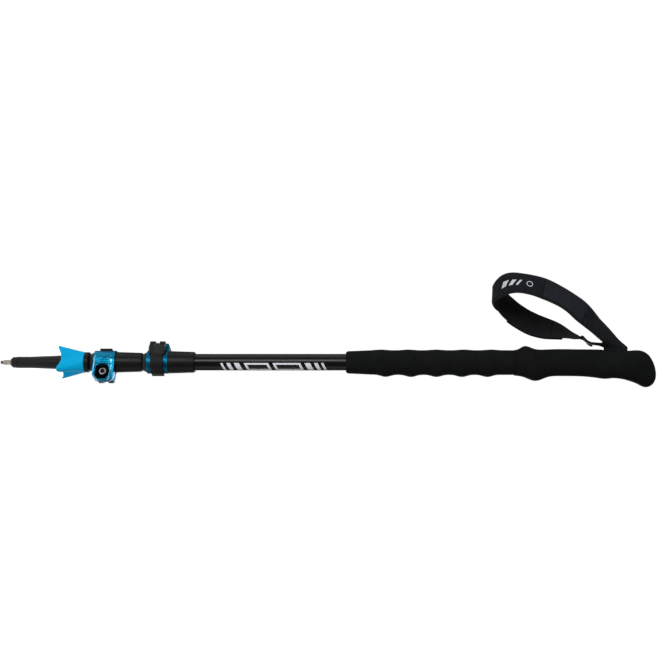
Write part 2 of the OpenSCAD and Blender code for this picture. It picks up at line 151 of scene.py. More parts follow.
def add_piece(name, verts, faces, material, body, replaces=()):
    """One smooth mesh piece from points in millimetres, placed in its mesh and riding on a body."""
    mesh = bpy.data.meshes.new(name)
    mesh.from_pydata((np.asarray(verts) * MM).tolist(), [], faces)
    mesh.polygons.foreach_set("use_smooth", np.ones(len(mesh.polygons), bool))
    mesh.materials.append(material)
    mesh.update()
    piece = bpy.data.objects.new(name, mesh)
    bpy.context.scene.collection.objects.link(piece)
    if body:
        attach(piece, body)
    if replaces:
        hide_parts(*replaces)
    return piece


def add_surface(name, points, material, body, replaces=(), ring=False):
    """A closed piece through a grid of points [row, column, xyz] whose columns close on themselves.

    With ring the last row joins the first, as on a tube with a wall. Otherwise the
    first and last rows each draw in to a pole, and a flat face closes each of them.
    """
    rows, columns = points.shape[:2]
    verts = points.reshape(-1, 3)
    quads = facing_out(verts, grid_quads(rows, columns, ring))
    faces = quads.tolist()
    if not ring:
        flipped = quads[0][1] != 1
        start, end = np.arange(columns), (rows - 1) * columns + np.arange(columns)
        faces.append((start if flipped else start[::-1]).tolist())
        faces.append((end[::-1] if flipped else end).tolist())
    return add_piece(name, verts, faces, material, body, replaces)


def rounded(corners, spacing=2.0, arc_steps=6):
    """Closed outline through corners (r, z, radius), each corner with a radius drawn as a tangent arc.

    An arc of radius q at a corner of angle t starts q / tan(t / 2) from the corner.
    Straight sides are split so that smooth shading stays flat along them.
    """
    points = np.array([c[:2] for c in corners], float)
    radii = np.array([c[2] for c in corners], float)
    outline = []
    for here, before, after, q in zip(points, np.roll(points, 1, 0), np.roll(points, -1, 0), radii):
        to_before, to_after = before - here, after - here
        u = to_before / np.linalg.norm(to_before)
        v = to_after / np.linalg.norm(to_after)
        if q <= 0:
            outline.append(here[None])
            continue
        half = math.acos(np.clip(u @ v, -1, 1)) / 2
        reach = q / math.tan(half)
        middle = here + (u + v) / np.linalg.norm(u + v) * q / math.sin(half)
        a = here + u * reach - middle
        b = here + v * reach - middle
        whole = math.pi - 2 * half
        s = np.linspace(0, 1, arc_steps + 1)[:, None]
        arc = (np.sin((1 - s) * whole) * a + np.sin(s * whole) * b) / math.sin(whole)
        outline.append(np.vstack([here + u * (reach + 0.12), middle + arc, here + v * (reach + 0.12)]))
    ends = np.vstack(outline)
    split = []
    for p, q in zip(ends, np.roll(ends, -1, 0)):
        steps = max(1, int(np.linalg.norm(q - p) / spacing))
        split.append(p + (q - p) * np.arange(steps)[:, None] / steps)
    return np.vstack(split)


def turned(profile, sides, shape=None):
    """Grid of points of a profile (r, z) turned about Z; shape(r, z, a) may change the radius and height."""
    a = np.linspace(0, TAU, sides, endpoint=False)[None, :]
    r = np.repeat(profile[:, :1], sides, 1)
    z = np.repeat(profile[:, 1:], sides, 1)
    if shape:
        r, z = shape(r, z, a)
    return np.stack([r * np.cos(a), r * np.sin(a), z + 0 * a], -1)


def catmull(rows, u):
    """Points on a Catmull-Rom curve through rows, at the real indices u."""
    rows = np.asarray(rows, float)
    last = len(rows) - 1
    i = np.minimum(np.floor(u).astype(int), last - 1)
    t = (u - i)[:, None]
    p0, p1, p2, p3 = (rows[np.clip(i + k, 0, last)] for k in (-1, 0, 1, 2))
    return 0.5 * (2 * p1 + (p2 - p0) * t + (2 * p0 - 5 * p1 + 4 * p2 - p3) * t ** 2
                  + (3 * p1 - p0 - 3 * p2 + p3) * t ** 3)


def smooth_step(x, start, end):
    """0 before start, 1 after end, and an even S-curve between them."""
    t = np.clip((x - start) / (end - start), 0, 1)
    return t * t * (3 - 2 * t)


def unit(v):
    """Vectors scaled to length 1."""
    return v / np.linalg.norm(v, axis=-1, keepdims=True)


def softened(node, width, material, body, angle=32):
    """A copy of a CAD node whose loose triangles are joined and whose sharp edges are rounded over."""
    source = frame["nodes"][node]
    bm = bmesh.new()
    bm.from_mesh(source.data)
    bmesh.ops.remove_doubles(bm, verts=bm.verts, dist=2e-6)
    bmesh.ops.dissolve_limit(bm, angle_limit=math.radians(0.6), verts=bm.verts, edges=bm.edges)
    name = node + "_shell"
    mesh = bpy.data.meshes.new(name)
    bm.to_mesh(mesh)
    bm.free()
    mesh.materials.clear()
    mesh.materials.append(material)
    mesh.polygons.foreach_set("use_smooth", np.ones(len(mesh.polygons), bool))
    piece = bpy.data.objects.new(name, mesh)
    bpy.context.scene.collection.objects.link(piece)
    bevel = piece.modifiers.new("rounded edges", "BEVEL")
    bevel.width = width * MM
    bevel.segments = 3
    bevel.limit_method = "ANGLE"
    bevel.angle_limit = math.radians(angle)
    bevel.harden_normals = True
    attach(piece, body)
    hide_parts(node)
    return piece


# ---------- shader helpers ----------

def shader_node(tree, kind, inputs=None, **settings):
    """A shader node with its settings, and its inputs either linked or set."""
    made = tree.nodes.new("ShaderNode" + kind)
    for key, value in settings.items():
        setattr(made, key, value)
    for key, value in (inputs or {}).items():
        if isinstance(value, bpy.types.NodeSocket):
            tree.links.new(value, made.inputs[key])
        else:
            made.inputs[key].default_value = value
    return made


def calc(tree, operation, *values, clamp=False):
    """Output of one Math node."""
    inputs = dict(enumerate(values))
    return shader_node(tree, "Math", inputs, operation=operation, use_clamp=clamp).outputs[0]


def blend_colours(tree, share, a, b):
    """Colour a where share is 0 and b where it is 1."""
    mix = shader_node(tree, "Mix", {0: share, 6: a, 7: b}, data_type="RGBA")
    return mix.outputs[2]


def object_coords(tree):
    return shader_node(tree, "TexCoord").outputs["Object"]


def new_group(name, inputs, outputs):
    """Empty node group: inputs are given as (name, kind, default) and outputs as (name, kind)."""
    group = bpy.data.node_groups.new(name, "ShaderNodeTree")
    for label, kind, default in inputs:
        socket = group.interface.new_socket(label, in_out="INPUT", socket_type="NodeSocket" + kind)
        if default is not None:
            socket.default_value = default
    for label, kind in outputs:
        group.interface.new_socket(label, in_out="OUTPUT", socket_type="NodeSocket" + kind)
    return group, group.nodes.new("NodeGroupInput"), group.nodes.new("NodeGroupOutput")


def use_group(tree, group, **inputs):
    made = tree.nodes.new("ShaderNodeGroup")
    made.node_tree = group
    for key, value in inputs.items():
        label = key.replace("_", " ").title()
        if isinstance(value, bpy.types.NodeSocket):
            tree.links.new(value, made.inputs[label])
        else:
            made.inputs[label].default_value = value
    return made


def make_grain_group():
    """Fine bumps of moulded, cast or foamed surfaces: two scales of noise drive one bump."""
    group, source, sink = new_group(
        "surface grain",
        [("Scale", "Float", 1500.0), ("Depth", "Float", 0.00005), ("Coarse Share", "Float", 0.3)],
        [("Normal", "Vector"), ("Mask", "Float")])
    place = object_coords(group)
    fine = shader_node(group, "TexNoise", {"Vector": place, "Scale": source.outputs["Scale"],
                                           "Detail": 2.0, "Roughness": 0.6})
    coarse_scale = calc(group, "MULTIPLY", source.outputs["Scale"], 0.18)
    coarse = shader_node(group, "TexNoise", {"Vector": place, "Scale": coarse_scale, "Detail": 2.0})
    height = shader_node(group, "Mix", {0: source.outputs["Coarse Share"], 2: fine.outputs["Fac"],
                                        3: coarse.outputs["Fac"]}).outputs[0]
    bump = shader_node(group, "Bump", {"Height": height, "Distance": source.outputs["Depth"]})
    group.links.new(bump.outputs["Normal"], sink.inputs["Normal"])
    group.links.new(height, sink.inputs["Mask"])
    return group


def make_mottle_group():
    """Slow drift between two tones, with a little fine speckle on top."""
    group, source, sink = new_group(
        "mottle",
        [("Tone A", "Color", None), ("Tone B", "Color", None), ("Scale", "Float", 60.0)],
        [("Color", "Color"), ("Mask", "Float")])
    place = object_coords(group)
    slow = shader_node(group, "TexNoise", {"Vector": place, "Scale": source.outputs["Scale"], "Detail": 4.0})
    quick_scale = calc(group, "MULTIPLY", source.outputs["Scale"], 22.0)
    quick = shader_node(group, "TexNoise", {"Vector": place, "Scale": quick_scale, "Detail": 1.0})
    half_slow = calc(group, "MULTIPLY", slow.outputs["Fac"], 0.5)
    mean = calc(group, "MULTIPLY_ADD", quick.outputs["Fac"], 0.5, half_slow)
    share = shader_node(group, "MapRange", {0: mean, 1: 0.36, 2: 0.64}).outputs[0]
    group.links.new(blend_colours(group, share, source.outputs["Tone A"], source.outputs["Tone B"]),
                    sink.inputs["Color"])
    group.links.new(share, sink.inputs["Mask"])
    return group


def make_uneven_group():
    """Roughness that drifts between two values, as handled surfaces do."""
    group, source, sink = new_group(
        "uneven gloss",
        [("Low", "Float", 0.3), ("High", "Float", 0.5), ("Scale", "Float", 90.0)],
        [("Value", "Float")])
    noise = shader_node(group, "TexNoise", {"Vector": object_coords(group), "Scale": source.outputs["Scale"],
                                            "Detail": 3.0})
    share = shader_node(group, "MapRange", {0: noise.outputs["Fac"], 1: 0.35, 2: 0.65}).outputs[0]
    value = shader_node(group, "Mix", {0: share, 2: source.outputs["Low"], 3: source.outputs["High"]})
    group.links.new(value.outputs[0], sink.inputs["Value"])
    return group


def make_scuff_group():
    """Thin rubbed streaks that run along the shaft: noise stretched along Z and cut near its top."""
    group, source, sink = new_group(
        "scuffs", [("Scale", "Float", 400.0), ("Amount", "Float", 0.5)], [("Mask", "Float")])
    stretch = shader_node(group, "Mapping", {"Vector": object_coords(group), "Scale": (1.0, 1.0, 0.06)})
    noise = shader_node(group, "TexNoise", {"Vector": stretch.outputs[0], "Scale": source.outputs["Scale"],
                                            "Detail": 3.0})
    streak = shader_node(group, "MapRange", {0: noise.outputs["Fac"], 1: 0.62, 2: 0.74}).outputs[0]
    group.links.new(calc(group, "MULTIPLY", streak, source.outputs["Amount"]), sink.inputs["Mask"])
    return group


def make_rings_group():
    """Turning marks: fine rings round Z, with their spacing broken up by noise."""
    group, source, sink = new_group(
        "turning marks", [("Pitch", "Float", 0.0003), ("Depth", "Float", 0.00001)], [("Normal", "Vector")])
    height_z = shader_node(group, "SeparateXYZ", {0: object_coords(group)}).outputs[2]
    phase = calc(group, "DIVIDE", height_z, source.outputs["Pitch"])
    noise = shader_node(group, "TexNoise", {"Vector": object_coords(group), "Scale": 300.0, "Detail": 1.0})
    wobble = calc(group, "MULTIPLY_ADD", noise.outputs["Fac"], 1.5, phase)
    wave = calc(group, "SINE", calc(group, "MULTIPLY", wobble, TAU))
    bump = shader_node(group, "Bump", {"Height": wave, "Distance": source.outputs["Depth"]})
    group.links.new(bump.outputs["Normal"], sink.inputs["Normal"])
    return group


grain = make_grain_group()
mottle = make_mottle_group()
uneven = make_uneven_group()
scuffs = make_scuff_group()
rings = make_rings_group()


def new_material(name, **constants):
    """Material whose constants are set on the Principled shader's own sockets."""
    material = bpy.data.materials.new(name)
    material.use_nodes = True
    shader = material.node_tree.nodes["Principled BSDF"]
    for key, value in constants.items():
        shader.inputs[key.replace("_", " ")].default_value = value
    return material, material.node_tree, shader


def link(tree, output, shader, socket):
    tree.links.new(output, shader.inputs[socket])


def rgb(red, green, blue):
    """Linear colour from 0 to 255 display values."""
    display = np.array([red, green, blue]) / 255
    linear = np.where(display <= 0.04045, display / 12.92, ((display + 0.055) / 1.055) ** 2.4)
    return (*linear.tolist(), 1.0)


def moulded(name, tone_a, tone_b, gloss, grain_scale, grain_depth, **constants):
    """Moulded or foamed surface: drifting tone, uneven gloss and fine grain."""
    material, tree, shader = new_material(name, **constants)
    link(tree, use_group(tree, mottle, tone_a=tone_a, tone_b=tone_b, scale=70.0).outputs["Color"],
         shader, "Base Color")
    link(tree, use_group(tree, uneven, low=gloss[0], high=gloss[1], scale=110.0).outputs["Value"],
         shader, "Roughness")
    skin = use_group(tree, grain, scale=grain_scale, depth=grain_depth)
    link(tree, skin.outputs["Normal"], shader, "Normal")
    return material


# ---------- materials ----------

ferrule_plastic = moulded("ferrule plastic", rgb(8, 8, 9), rgb(14, 13, 13), (0.3, 0.42), 2600.0, 0.00003,
                          Specular_IOR_Level=0.18)
clamp_plastic = moulded("clamp plastic", rgb(11, 11, 12), rgb(17, 16, 17), (0.34, 0.46), 2600.0, 0.00003,
                        Specular_IOR_Level=0.19)
lever_plastic = moulded("lever plastic", rgb(15, 14, 14), rgb(23, 21, 21), (0.42, 0.58), 2000.0, 0.00006,
                        Specular_IOR_Level=0.17)
pad_plastic = moulded("pad plastic", rgb(26, 26, 28), rgb(36, 36, 38), (0.3, 0.4), 3000.0, 0.00001)
guide_plastic = moulded("guide plastic", rgb(118, 118, 118), rgb(132, 132, 131), (0.35, 0.45),
                        2500.0, 0.00002)
core_plastic = moulded("core plastic", rgb(34, 34, 36), rgb(42, 42, 44), (0.4, 0.55), 2200.0, 0.00003)


def foam_material():
    """Closed-cell foam: small round cells cut open by the mould, over a soft uneven skin."""
    material, tree, shader = new_material("grip foam", Specular_IOR_Level=0.08)
    drift = use_group(tree, mottle, tone_a=rgb(14, 15, 16), tone_b=rgb(20, 21, 22), scale=45.0)
    link(tree, drift.outputs["Color"], shader, "Base Color")
    link(tree, use_group(tree, uneven, low=0.78, high=0.95, scale=120.0).outputs["Value"], shader, "Roughness")
    place = object_coords(tree)
    cells = shader_node(tree, "TexVoronoi", {"Vector": place, "Scale": 1500.0}, feature="F1")
    pits = shader_node(tree, "MapRange", {0: cells.outputs["Distance"], 1: 0.0, 2: 0.5}).outputs[0]
    skin = shader_node(tree, "TexNoise", {"Vector": place, "Scale": 420.0, "Detail": 3.0})
    height = calc(tree, "MULTIPLY_ADD", skin.outputs["Fac"], 0.8, pits)
    bump = shader_node(tree, "Bump", {"Height": height, "Distance": 0.00016})
    link(tree, bump.outputs["Normal"], shader, "Normal")
    return material


foam = foam_material()


def basket_material():
    """Bright moulded plastic with a soft satin skin and a greener tone towards the thin rim."""
    material, tree, shader = new_material("basket plastic", Specular_IOR_Level=0.06, Subsurface_Weight=0.03,
                                          Subsurface_Scale=0.002, Subsurface_Radius=(0.3, 0.8, 1.0))
    drift = use_group(tree, mottle, tone_a=rgb(0, 159, 210), tone_b=rgb(1, 165, 216), scale=50.0)
    height_z = shader_node(tree, "SeparateXYZ", {0: object_coords(tree)}).outputs[2]
    rim = shader_node(tree, "MapRange", {0: height_z, 1: (rim_z + 5) * MM, 2: rim_z * MM,
                                         3: 0.0, 4: 0.55}).outputs[0]
    link(tree, blend_colours(tree, rim, drift.outputs["Color"], rgb(18, 160, 190)), shader, "Base Color")
    link(tree, use_group(tree, uneven, low=0.42, high=0.54, scale=90.0).outputs["Value"], shader, "Roughness")
    link(tree, use_group(tree, grain, scale=1400.0, depth=0.00003).outputs["Normal"], shader, "Normal")
    return material


basket_plastic = basket_material()


def within(tree, value, centre, half):
    """1 where value lies within half a width of centre, both in millimetres, and 0 elsewhere."""
    offset = calc(tree, "ABSOLUTE", calc(tree, "SUBTRACT", value, centre * MM))
    return calc(tree, "LESS_THAN", offset, half * MM)


def rounded_box(tree, x, z, centre, half, corner):
    """Distance in metres from the edge of a rounded rectangle in x and z, negative inside it."""
    square = []
    for value, middle_at, reach in ((x, centre[0], half[0]), (z, centre[1], half[1])):
        offset = calc(tree, "ABSOLUTE", calc(tree, "SUBTRACT", value, middle_at * MM))
        past = calc(tree, "MAXIMUM", calc(tree, "SUBTRACT", offset, (reach - corner) * MM), 0.0)
        square.append(calc(tree, "MULTIPLY", past, past))
    return calc(tree, "SUBTRACT", calc(tree, "SQRT", calc(tree, "ADD", *square)), corner * MM)


def clamp_coords(tree, side):
    """X, Y and Z turned so that the clamp's flat front faces -Y, with Z from the clamp's middle."""
    turned_back = shader_node(tree, "Mapping", {
        "Vector": object_coords(tree), "Rotation": (0.0, 0.0, math.radians(CLAMP_TURNS[side])),
        "Location": (0.0, 0.0, -clamp_middle(side) * MM)}).outputs[0]
    return shader_node(tree, "SeparateXYZ", {0: turned_back}).outputs


def engraved_mark(tree, x, z):
    """Mask of three short bars, one under another."""
    joined = None
    for place_x, half_length in ((0.3, 1.8), (2.3, 4.4), (4.5, 4.0)):
        bar = calc(tree, "MULTIPLY", within(tree, x, place_x, 0.42), within(tree, z, 0.8, half_length))
        joined = bar if joined is None else calc(tree, "MAXIMUM", joined, bar)
    return joined


def anodised_material(name, side, tones):
    """Dyed anodised aluminium: saturated metal with a fine blasted grain.

    The front carries an engraved mark, a near-black rounded patch round the bolt's head that
    the bump sinks, and a raised, glossier line that runs round the patch in a U, whose pale
    colour is a painted highlight.
    """
    material, tree, shader = new_material(name, Metallic=1.0)
    drift = use_group(tree, mottle, tone_a=tones[0], tone_b=tones[1], scale=120.0)
    gloss = use_group(tree, uneven, low=0.34, high=0.44, scale=160.0).outputs["Value"]
    x, y, z = clamp_coords(tree, side)
    front = calc(tree, "LESS_THAN", y, 0.0)
    bolt_x = bolt_offset(side)
    # A near-black rounded patch round the bolt's head, sunk by the bump.
    dark_patch = calc(tree, "LESS_THAN", rounded_box(tree, x, z, (bolt_x - 0.6, -1.2), (8.0, 7.2), 4.5), 0.0)
    dark_patch = calc(tree, "MULTIPLY", dark_patch, front)
    # The U-shaped line is raised by the bump and made glossier; its pale blue colour is a painted highlight.
    line = rounded_box(tree, x, z, (bolt_x - 5.5, -0.8), (14.5, 8.9), 6.5)
    rim = calc(tree, "MULTIPLY", calc(tree, "LESS_THAN", calc(tree, "ABSOLUTE", line), 0.5 * MM), front)
    rim = calc(tree, "MULTIPLY", rim, calc(tree, "GREATER_THAN", x, (bolt_x - 17) * MM))
    colour = blend_colours(tree, dark_patch, drift.outputs["Color"], rgb(6, 8, 10))
    colour = blend_colours(tree, rim, colour, rgb(120, 190, 214))
    mark = calc(tree, "MULTIPLY", engraved_mark(tree, x, z), front)
    colour = blend_colours(tree, mark, colour, rgb(4, 30, 66))
    link(tree, colour, shader, "Base Color")
    link(tree, calc(tree, "MULTIPLY_ADD", rim, -0.2, gloss), shader, "Roughness")
    fine = use_group(tree, grain, scale=3200.0, depth=0.00001).outputs["Normal"]
    height = calc(tree, "SUBTRACT", rim, calc(tree, "MAXIMUM", dark_patch, mark))
    relief = shader_node(tree, "Bump", {"Height": height, "Distance": 0.00015, "Normal": fine})
    link(tree, relief.outputs["Normal"], shader, "Normal")
    return material


# The upper clamp's tones are a darker copy of the same anodised blue: painted shade.
anodised = {
    0: anodised_material("lower anodised", 0, (rgb(13, 116, 153), rgb(22, 132, 171))),
    1: anodised_material("upper anodised painted shade", 1, (rgb(11, 86, 114), rgb(17, 100, 131)))}


def metal(name, tone_a, tone_b, gloss, pitch, depth):
    """Turned or ground metal: fine rings, uneven gloss and light scuffs."""
    material, tree, shader = new_material(name, Metallic=1.0)
    drift = use_group(tree, mottle, tone_a=tone_a, tone_b=tone_b, scale=300.0)
    rub = use_group(tree, scuffs, scale=900.0, amount=0.5)
    link(tree, blend_colours(tree, rub.outputs["Mask"], drift.outputs["Color"], rgb(225, 220, 214)),
         shader, "Base Color")
    link(tree, use_group(tree, uneven, low=gloss[0], high=gloss[1], scale=400.0).outputs["Value"],
         shader, "Roughness")
    link(tree, use_group(tree, rings, pitch=pitch, depth=depth).outputs["Normal"], shader, "Normal")
    return material


def bolt_material(name, side):
    """Bolt steel with dark painted shade in the hollow in the middle of its head."""
    material = metal(name, rgb(122, 118, 118), rgb(150, 146, 145), (0.24, 0.36), 0.0005, 0.000004)
    tree = material.node_tree
    shader = tree.nodes["Principled BSDF"]
    clean = shader.inputs["Base Color"].links[0].from_socket
    x, y, z = clamp_coords(tree, side)
    bolt_z = joint_place(f"{CLAMPS[side]}_bolt_turn")[2] - clamp_middle(side)
    far = rounded_box(tree, x, z, (bolt_offset(side), bolt_z), (2.4, 2.4), 2.4)
    # Dark colour in the head's hollow: painted shade.
    hollow = calc(tree, "LESS_THAN", far, 0.0)
    link(tree, blend_colours(tree, hollow, clean, rgb(22, 20, 30)), shader, "Base Color")
    return material


steel = metal("steel", rgb(176, 175, 173), rgb(196, 195, 192), (0.22, 0.34), 0.0004, 0.000006)
bolt_steel = {side: bolt_material(f"bolt steel {side}", side) for side in (0, 1)}
holder_steel = metal("holder steel", rgb(144, 134, 127), rgb(160, 150, 142), (0.22, 0.34), 0.00035, 0.000008)
carbide = metal("carbide", rgb(78, 73, 68), rgb(104, 98, 91), (0.35, 0.5), 0.0003, 0.000012)


def shaft_angle(tree, x, y):
    """Angle about the shaft from +X, in radians."""
    return calc(tree, "ARCTAN2", y, x)


def arc_length(tree, x, y, centre, radius):
    """Distance in metres round the tube from the line at angle centre, in degrees from +X."""
    turn = calc(tree, "SUBTRACT", shaft_angle(tree, x, y), math.radians(centre))
    return calc(tree, "MULTIPLY", calc(tree, "WRAP", turn, math.pi, -math.pi), radius * MM)


def inside_bar(tree, along, across, start, end, half, slant=0.45):
    """Mask of a slanted bar from start to end along the shaft and half its width to each side, in mm."""
    shifted = calc(tree, "MULTIPLY_ADD", across, -slant, along)
    in_length = within(tree, shifted, (start + end) / 2, (end - start) / 2)
    return calc(tree, "MULTIPLY", in_length, within(tree, across, 0, half))


def lacquer_base(name):
    material, tree, shader = new_material(name, Specular_IOR_Level=0.3)
    drift = use_group(tree, mottle, tone_a=rgb(6, 6, 6), tone_b=rgb(10, 9, 9), scale=40.0)
    rub = use_group(tree, scuffs, scale=700.0, amount=0.06)
    colour = blend_colours(tree, rub.outputs["Mask"], drift.outputs["Color"], rgb(70, 68, 66))
    link(tree, use_group(tree, grain, scale=1800.0, depth=0.000004).outputs["Normal"], shader, "Normal")
    xyz = shader_node(tree, "SeparateXYZ", {0: object_coords(tree)})
    return material, tree, shader, colour, xyz.outputs


def printed_lacquer():
    """Gloss black lacquer with a plain print: a long hollow slanted stripe between solid slanted bars."""
    material, tree, shader, colour, (x, y, z) = lacquer_base("printed lacquer")
    across = arc_length(tree, x, y, -58, upper_r)
    solid = [(237.5, 240.0), (244.0, 248.0), (252.0, 257.5), (327.0, 333.0), (337.0, 341.0), (344.5, 347.0)]
    masks = [inside_bar(tree, z, across, a, b, 4.6) for a, b in solid]
    for start, end in ((262.5, 288.5), (293.0, 322.5)):
        outer = inside_bar(tree, z, across, start, end, 4.6)
        inner = inside_bar(tree, z, across, start + 2.6, end - 2.6, 2.7)
        masks.append(calc(tree, "SUBTRACT", outer, inner, clamp=True))
    print_mask = masks[0]
    for mask in masks[1:]:
        print_mask = calc(tree, "MAXIMUM", print_mask, mask)
    link(tree, blend_colours(tree, print_mask, colour, rgb(226, 227, 234)), shader, "Base Color")
    gloss = use_group(tree, uneven, low=0.2, high=0.28, scale=60.0).outputs["Value"]
    link(tree, calc(tree, "MULTIPLY_ADD", print_mask, 0.15, gloss), shader, "Roughness")
    return material


def scaled_lacquer(name, radius, first, last):
    """Gloss black lacquer with a pale scale: a tick every 10 mm, and a longer one every 50 mm."""
    material, tree, shader, colour, (x, y, z) = lacquer_base(name)
    across = arc_length(tree, x, y, -90, radius)

    def ticks(pitch, half_width, half_length):
        offset = calc(tree, "MODULO", calc(tree, "SUBTRACT", z, first * MM), pitch * MM)
        centred = calc(tree, "ABSOLUTE", calc(tree, "SUBTRACT", offset, pitch / 2 * MM))
        on_line = calc(tree, "LESS_THAN", centred, half_width * MM)
        return calc(tree, "MULTIPLY", on_line, within(tree, across, 0, half_length))

    mask = calc(tree, "MAXIMUM", ticks(10, 0.3, 1.6), ticks(50, 0.35, 3.6))
    mask = calc(tree, "MULTIPLY", mask, within(tree, z, (first + last) / 2, (last - first) / 2))
    link(tree, blend_colours(tree, mask, colour, rgb(205, 206, 210)), shader, "Base Color")
    gloss = use_group(tree, uneven, low=0.2, high=0.3, scale=60.0).outputs["Value"]
    link(tree, gloss, shader, "Roughness")
    return material


upper_lacquer = printed_lacquer()
middle_lacquer = scaled_lacquer("middle lacquer", middle_r, 205, 560)
lower_lacquer = scaled_lacquer("lower lacquer", lower_r, 150, 540)


def strap_print(tree, along, across):
    """Mask of the strap's print: three slanted bars and a small ring, in millimetres along the band."""
    slanted = calc(tree, "MULTIPLY_ADD", across, 0.6, along)
    mask = None
    for place, half in ((134, 1.1), (140.5, 2.0), (149, 3.1)):
        bar = calc(tree, "MULTIPLY", within(tree, slanted, place, half), within(tree, across, 0, 3.2))
        mask = bar if mask is None else calc(tree, "MAXIMUM", mask, bar)
    disc = rounded_box(tree, along, across, (123, 0), (2.9, 2.9), 2.9)
    ring = calc(tree, "LESS_THAN", calc(tree, "ABSOLUTE", disc), 0.38 * MM)
    return calc(tree, "MAXIMUM", mask, ring)


def webbing_material(name, tone_a, tone_b, pitch, depth, twill, seams=(), label=False):
    """Woven webbing: threads cross over and under along the piece's own UV, measured in metres.

    Height is the product of a wave along and a wave across. With twill each row is
    shifted, so that the pattern climbs in slanting ribs. Each seam is a thin dark line
    across the band, at a distance along it in millimetres. With label the stretch
    between the first two seams is paler, and a plain print follows it.
    """
    material, tree, shader = new_material(name, Specular_IOR_Level=0.12, Sheen_Weight=0.02,
                                          Sheen_Roughness=0.5)
    uv = shader_node(tree, "UVMap", uv_map="UVMap").outputs[0]
    xyz = shader_node(tree, "SeparateXYZ", {0: uv})
    along, across = xyz.outputs[0], xyz.outputs[1]
    slant = calc(tree, "MULTIPLY_ADD", across, twill, along)
    rib = calc(tree, "SINE", calc(tree, "MULTIPLY", slant, TAU / (pitch * MM)))
    cord = calc(tree, "SINE", calc(tree, "MULTIPLY", across, TAU / (pitch * 0.8 * MM)))
    height = calc(tree, "MULTIPLY_ADD", cord, 0.45, rib)
    fuzz = shader_node(tree, "TexNoise", {"Vector": object_coords(tree), "Scale": 2600.0, "Detail": 2.0})
    height = calc(tree, "MULTIPLY_ADD", fuzz.outputs["Fac"], 0.8, height)
    bump = shader_node(tree, "Bump", {"Height": height, "Distance": depth * MM})
    link(tree, bump.outputs["Normal"], shader, "Normal")
    # Raised threads are coloured towards the paler tone: a painted highlight that follows the weave's height.
    lit = shader_node(tree, "MapRange", {0: height, 1: -1.2, 2: 2.0}).outputs[0]
    drift = use_group(tree, mottle, tone_a=tone_a, tone_b=tone_b, scale=70.0)
    share = calc(tree, "MULTIPLY", lit, 0.6)
    colour = blend_colours(tree, share, drift.outputs["Color"], tone_b)
    if label:
        paler = calc(tree, "MULTIPLY", within(tree, along, sum(seams) / 2, (seams[1] - seams[0]) / 2), lit)
        colour = blend_colours(tree, paler, colour, rgb(40, 42, 50))
        colour = blend_colours(tree, strap_print(tree, along, across), colour, rgb(206, 207, 214))
    for seam in seams:
        colour = blend_colours(tree, within(tree, along, seam, 0.5), colour, rgb(3, 3, 4))
    link(tree, colour, shader, "Base Color")
    link(tree, use_group(tree, uneven, low=0.7, high=0.88, scale=150.0).outputs["Value"], shader, "Roughness")
    return material


thread = moulded("sewing thread", rgb(20, 21, 24), rgb(32, 33, 37), (0.5, 0.7), 3000.0, 0.00002)


# ---------- tip, ferrule and basket ----------

def add_tip_point():
    """Carbide point: a short cylinder whose cupped end is notched into a ring of teeth."""
    r = high("tip_point")[1]
    top = high("tip_point")[2]
    profile = np.array([(0.02, 1.0), (0.6, 0.95), (1.0, 0.55), (r - 0.45, 0.05), (r - 0.25, 0), (r - 0.06, 0.12),
                        (r, 0.4), (r, 1.0), (r, 2.0), (r, top - 0.1), (r - 0.1, top), (0.02, top)])

    def teeth(rr, z, a):
        notch = smooth_step(np.cos(6 * a), 0.2, 0.9) * np.exp(-(z / 0.5) ** 2) * smooth_step(rr, 0.9, 1.5)
        return rr, z + 0.55 * notch

    add_surface("carbide_point", turned(profile, 96, teeth), carbide, "lower_section", ["tip_point"])


def add_holder():
    """Steel holder: a chamfered cylinder with one turned groove that flares out against the ferrule."""
    lo, hi = low("tip_holder"), high("tip_holder")
    r = high("tip_holder")[1] - 1.5
    groove = 0.22
    corners = [(0.02, lo[2], 0), (r - 0.3, lo[2], 0.1), (r, lo[2] + 0.3, 0.1), (r, lo[2] + 3.0, 0.08),
               (r - groove, lo[2] + 3.2, 0.05), (r - groove, lo[2] + 3.6, 0.05), (r, lo[2] + 3.8, 0.08),
               (r, nose_z - 2.0, 0.4), (r + 1.4, nose_z - 0.35, 0.2), (r + 1.4, nose_z, 0.05),
               (2.0, nose_z, 0), (2.0, hi[2], 0.3), (0.02, hi[2], 0)]
    points = turned(rounded(corners, 1.5, 5)[:-1], 96)
    add_surface("point_holder", points, holder_steel, "lower_section", ["tip_holder"])


